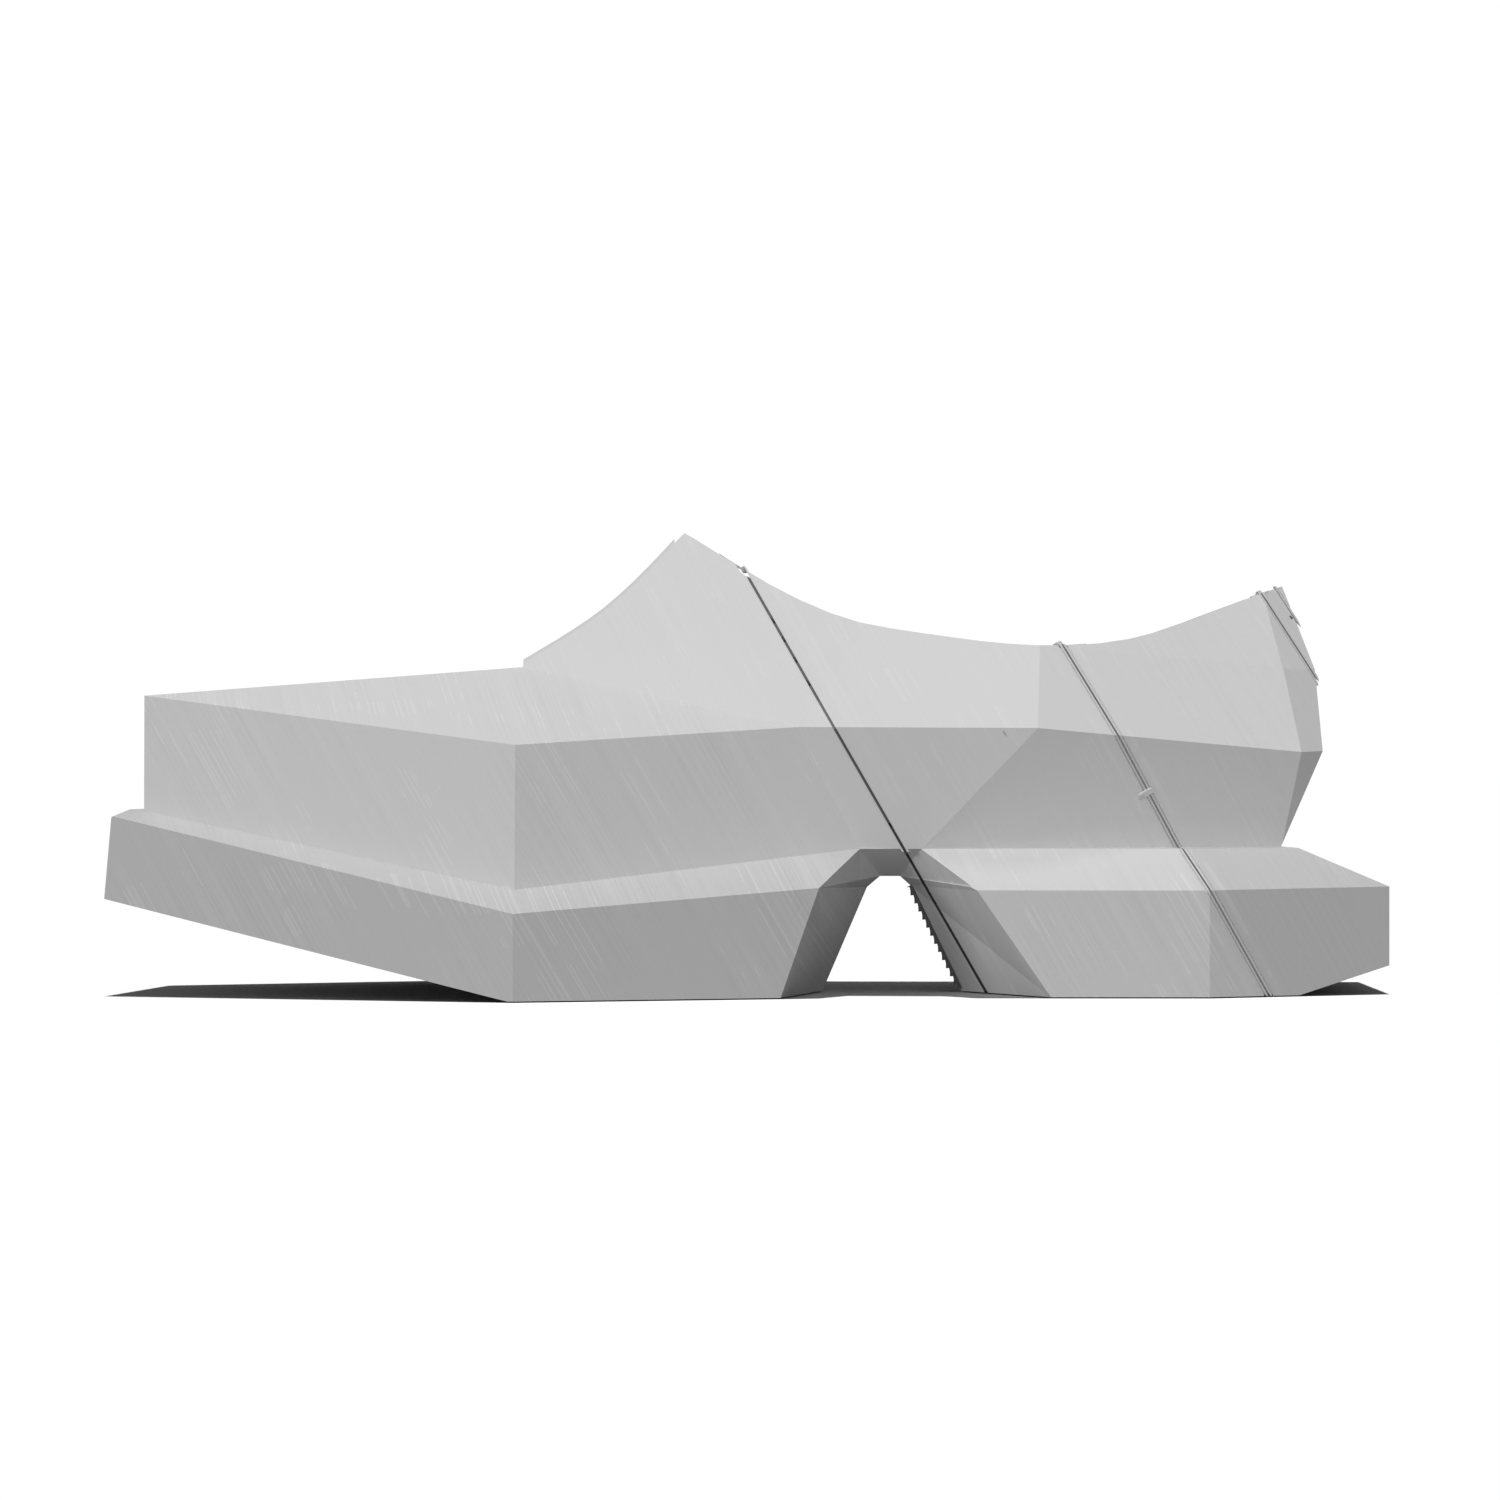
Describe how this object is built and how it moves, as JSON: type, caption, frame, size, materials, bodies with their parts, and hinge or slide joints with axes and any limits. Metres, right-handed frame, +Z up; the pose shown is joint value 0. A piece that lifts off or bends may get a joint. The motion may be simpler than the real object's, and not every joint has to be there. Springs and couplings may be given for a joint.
{
  "type": "folding loading ramp",
  "caption": "Folding loading ramp of hollow facetted sections on a stepped base with an arch passage; sections fold up over leaning seams.",
  "frame": {"origin": "on the floor under the left base section, at the centre of the middle rubber pad of section A", "axes": "+X along the ramp towards the tip, +Z up, -Y out of the front face"},
  "size_m": [2.002, 0.7206, 0.737],
  "materials": {
    "shell": "fine diagonal layer texture, matte",
    "plate": "satin",
    "hinge_leaf": "brushed",
    "fastener": "plated",
    "rib": "moulded",
    "pan": "moulded",
    "rubber_pad": "matte"
  },
  "bodies": {
    "section_a": {"base_left_shell": "shell", "base_left_pan": "pan", "base_left_ribs": "rib", "block_hood": "shell", "block_frame": "rib", "upper_left_shell": "shell", "upper_left_ribs": "rib", "arch_lintel": "shell", "end_plate_a": "plate", "tie_rods_a": "fastener", "edge_rim": "plate", "feet_a": "rubber_pad", "hinge_1_leaf_a": "hinge_leaf", "hinge_1_pin": "fastener", "hinge_1_screws_a": "fastener", "seam_buttons": "rubber_pad", "seam_seal": "rubber_pad", "arch_strip": "rubber_pad"},
    "section_b": {"upper_mid_shell": "shell", "upper_mid_ribs": "rib", "base_mid_shell": "shell", "base_mid_pan": "pan", "base_mid_ribs": "rib", "end_plate_b1": "plate", "end_plate_b2": "plate", "tie_rods_b": "fastener", "feet_b": "rubber_pad", "hinge_1_leaf_b": "hinge_leaf", "hinge_1_screws_b": "fastener", "hinge_2_leaf_b": "hinge_leaf", "hinge_2_pin": "fastener", "hinge_2_screws_b": "fastener", "latch_post": "fastener"},
    "section_c": {"upper_right_shell": "shell", "upper_right_ribs": "rib", "base_right_shell": "shell", "base_right_pan": "pan", "end_plate_c1": "plate", "end_plate_c2": "plate", "tie_rods_c": "fastener", "feet_c": "rubber_pad", "hinge_2_leaf_c": "hinge_leaf", "hinge_2_screws_c": "fastener", "hinge_3_leaf_c": "hinge_leaf", "hinge_3_pin": "fastener"},
    "tip_flap": {"tip_shell": "shell", "end_plate_d": "plate", "tip_plate": "plate", "tip_cap": "shell", "tip_bumper": "rubber_pad", "hinge_3_leaf_d": "hinge_leaf"},
    "latch": {"latch_tab": "hinge_leaf"}
  },
  "joints": [
    {"name": "fold_mid", "type": "hinge", "parent": "section_a", "child": "section_b", "pos_m": [-0.00945, 0.2395, 0.67639], "axis": [-0.0217, -0.9998, 0], "range_deg": [0, 110]},
    {"name": "fold_right", "type": "hinge", "parent": "section_b", "child": "section_c", "pos_m": [0.4943, 0.1085, 0.55062], "axis": [-0.0217, -0.9998, 0], "range_deg": [0, 115]},
    {"name": "tip_fold", "type": "hinge", "parent": "section_c", "child": "tip_flap", "pos_m": [0.83243, 0.2535, 0.63949], "axis": [-0.0217, -0.9998, 0], "range_deg": [0, 75]},
    {"name": "latch_turn", "type": "hinge", "parent": "section_b", "child": "latch", "pos_m": [0.61217, -0.09328, 0.31151], "axis": [0.2369, -0.8423, -0.4841], "range_deg": [0, 90]}
  ]
}
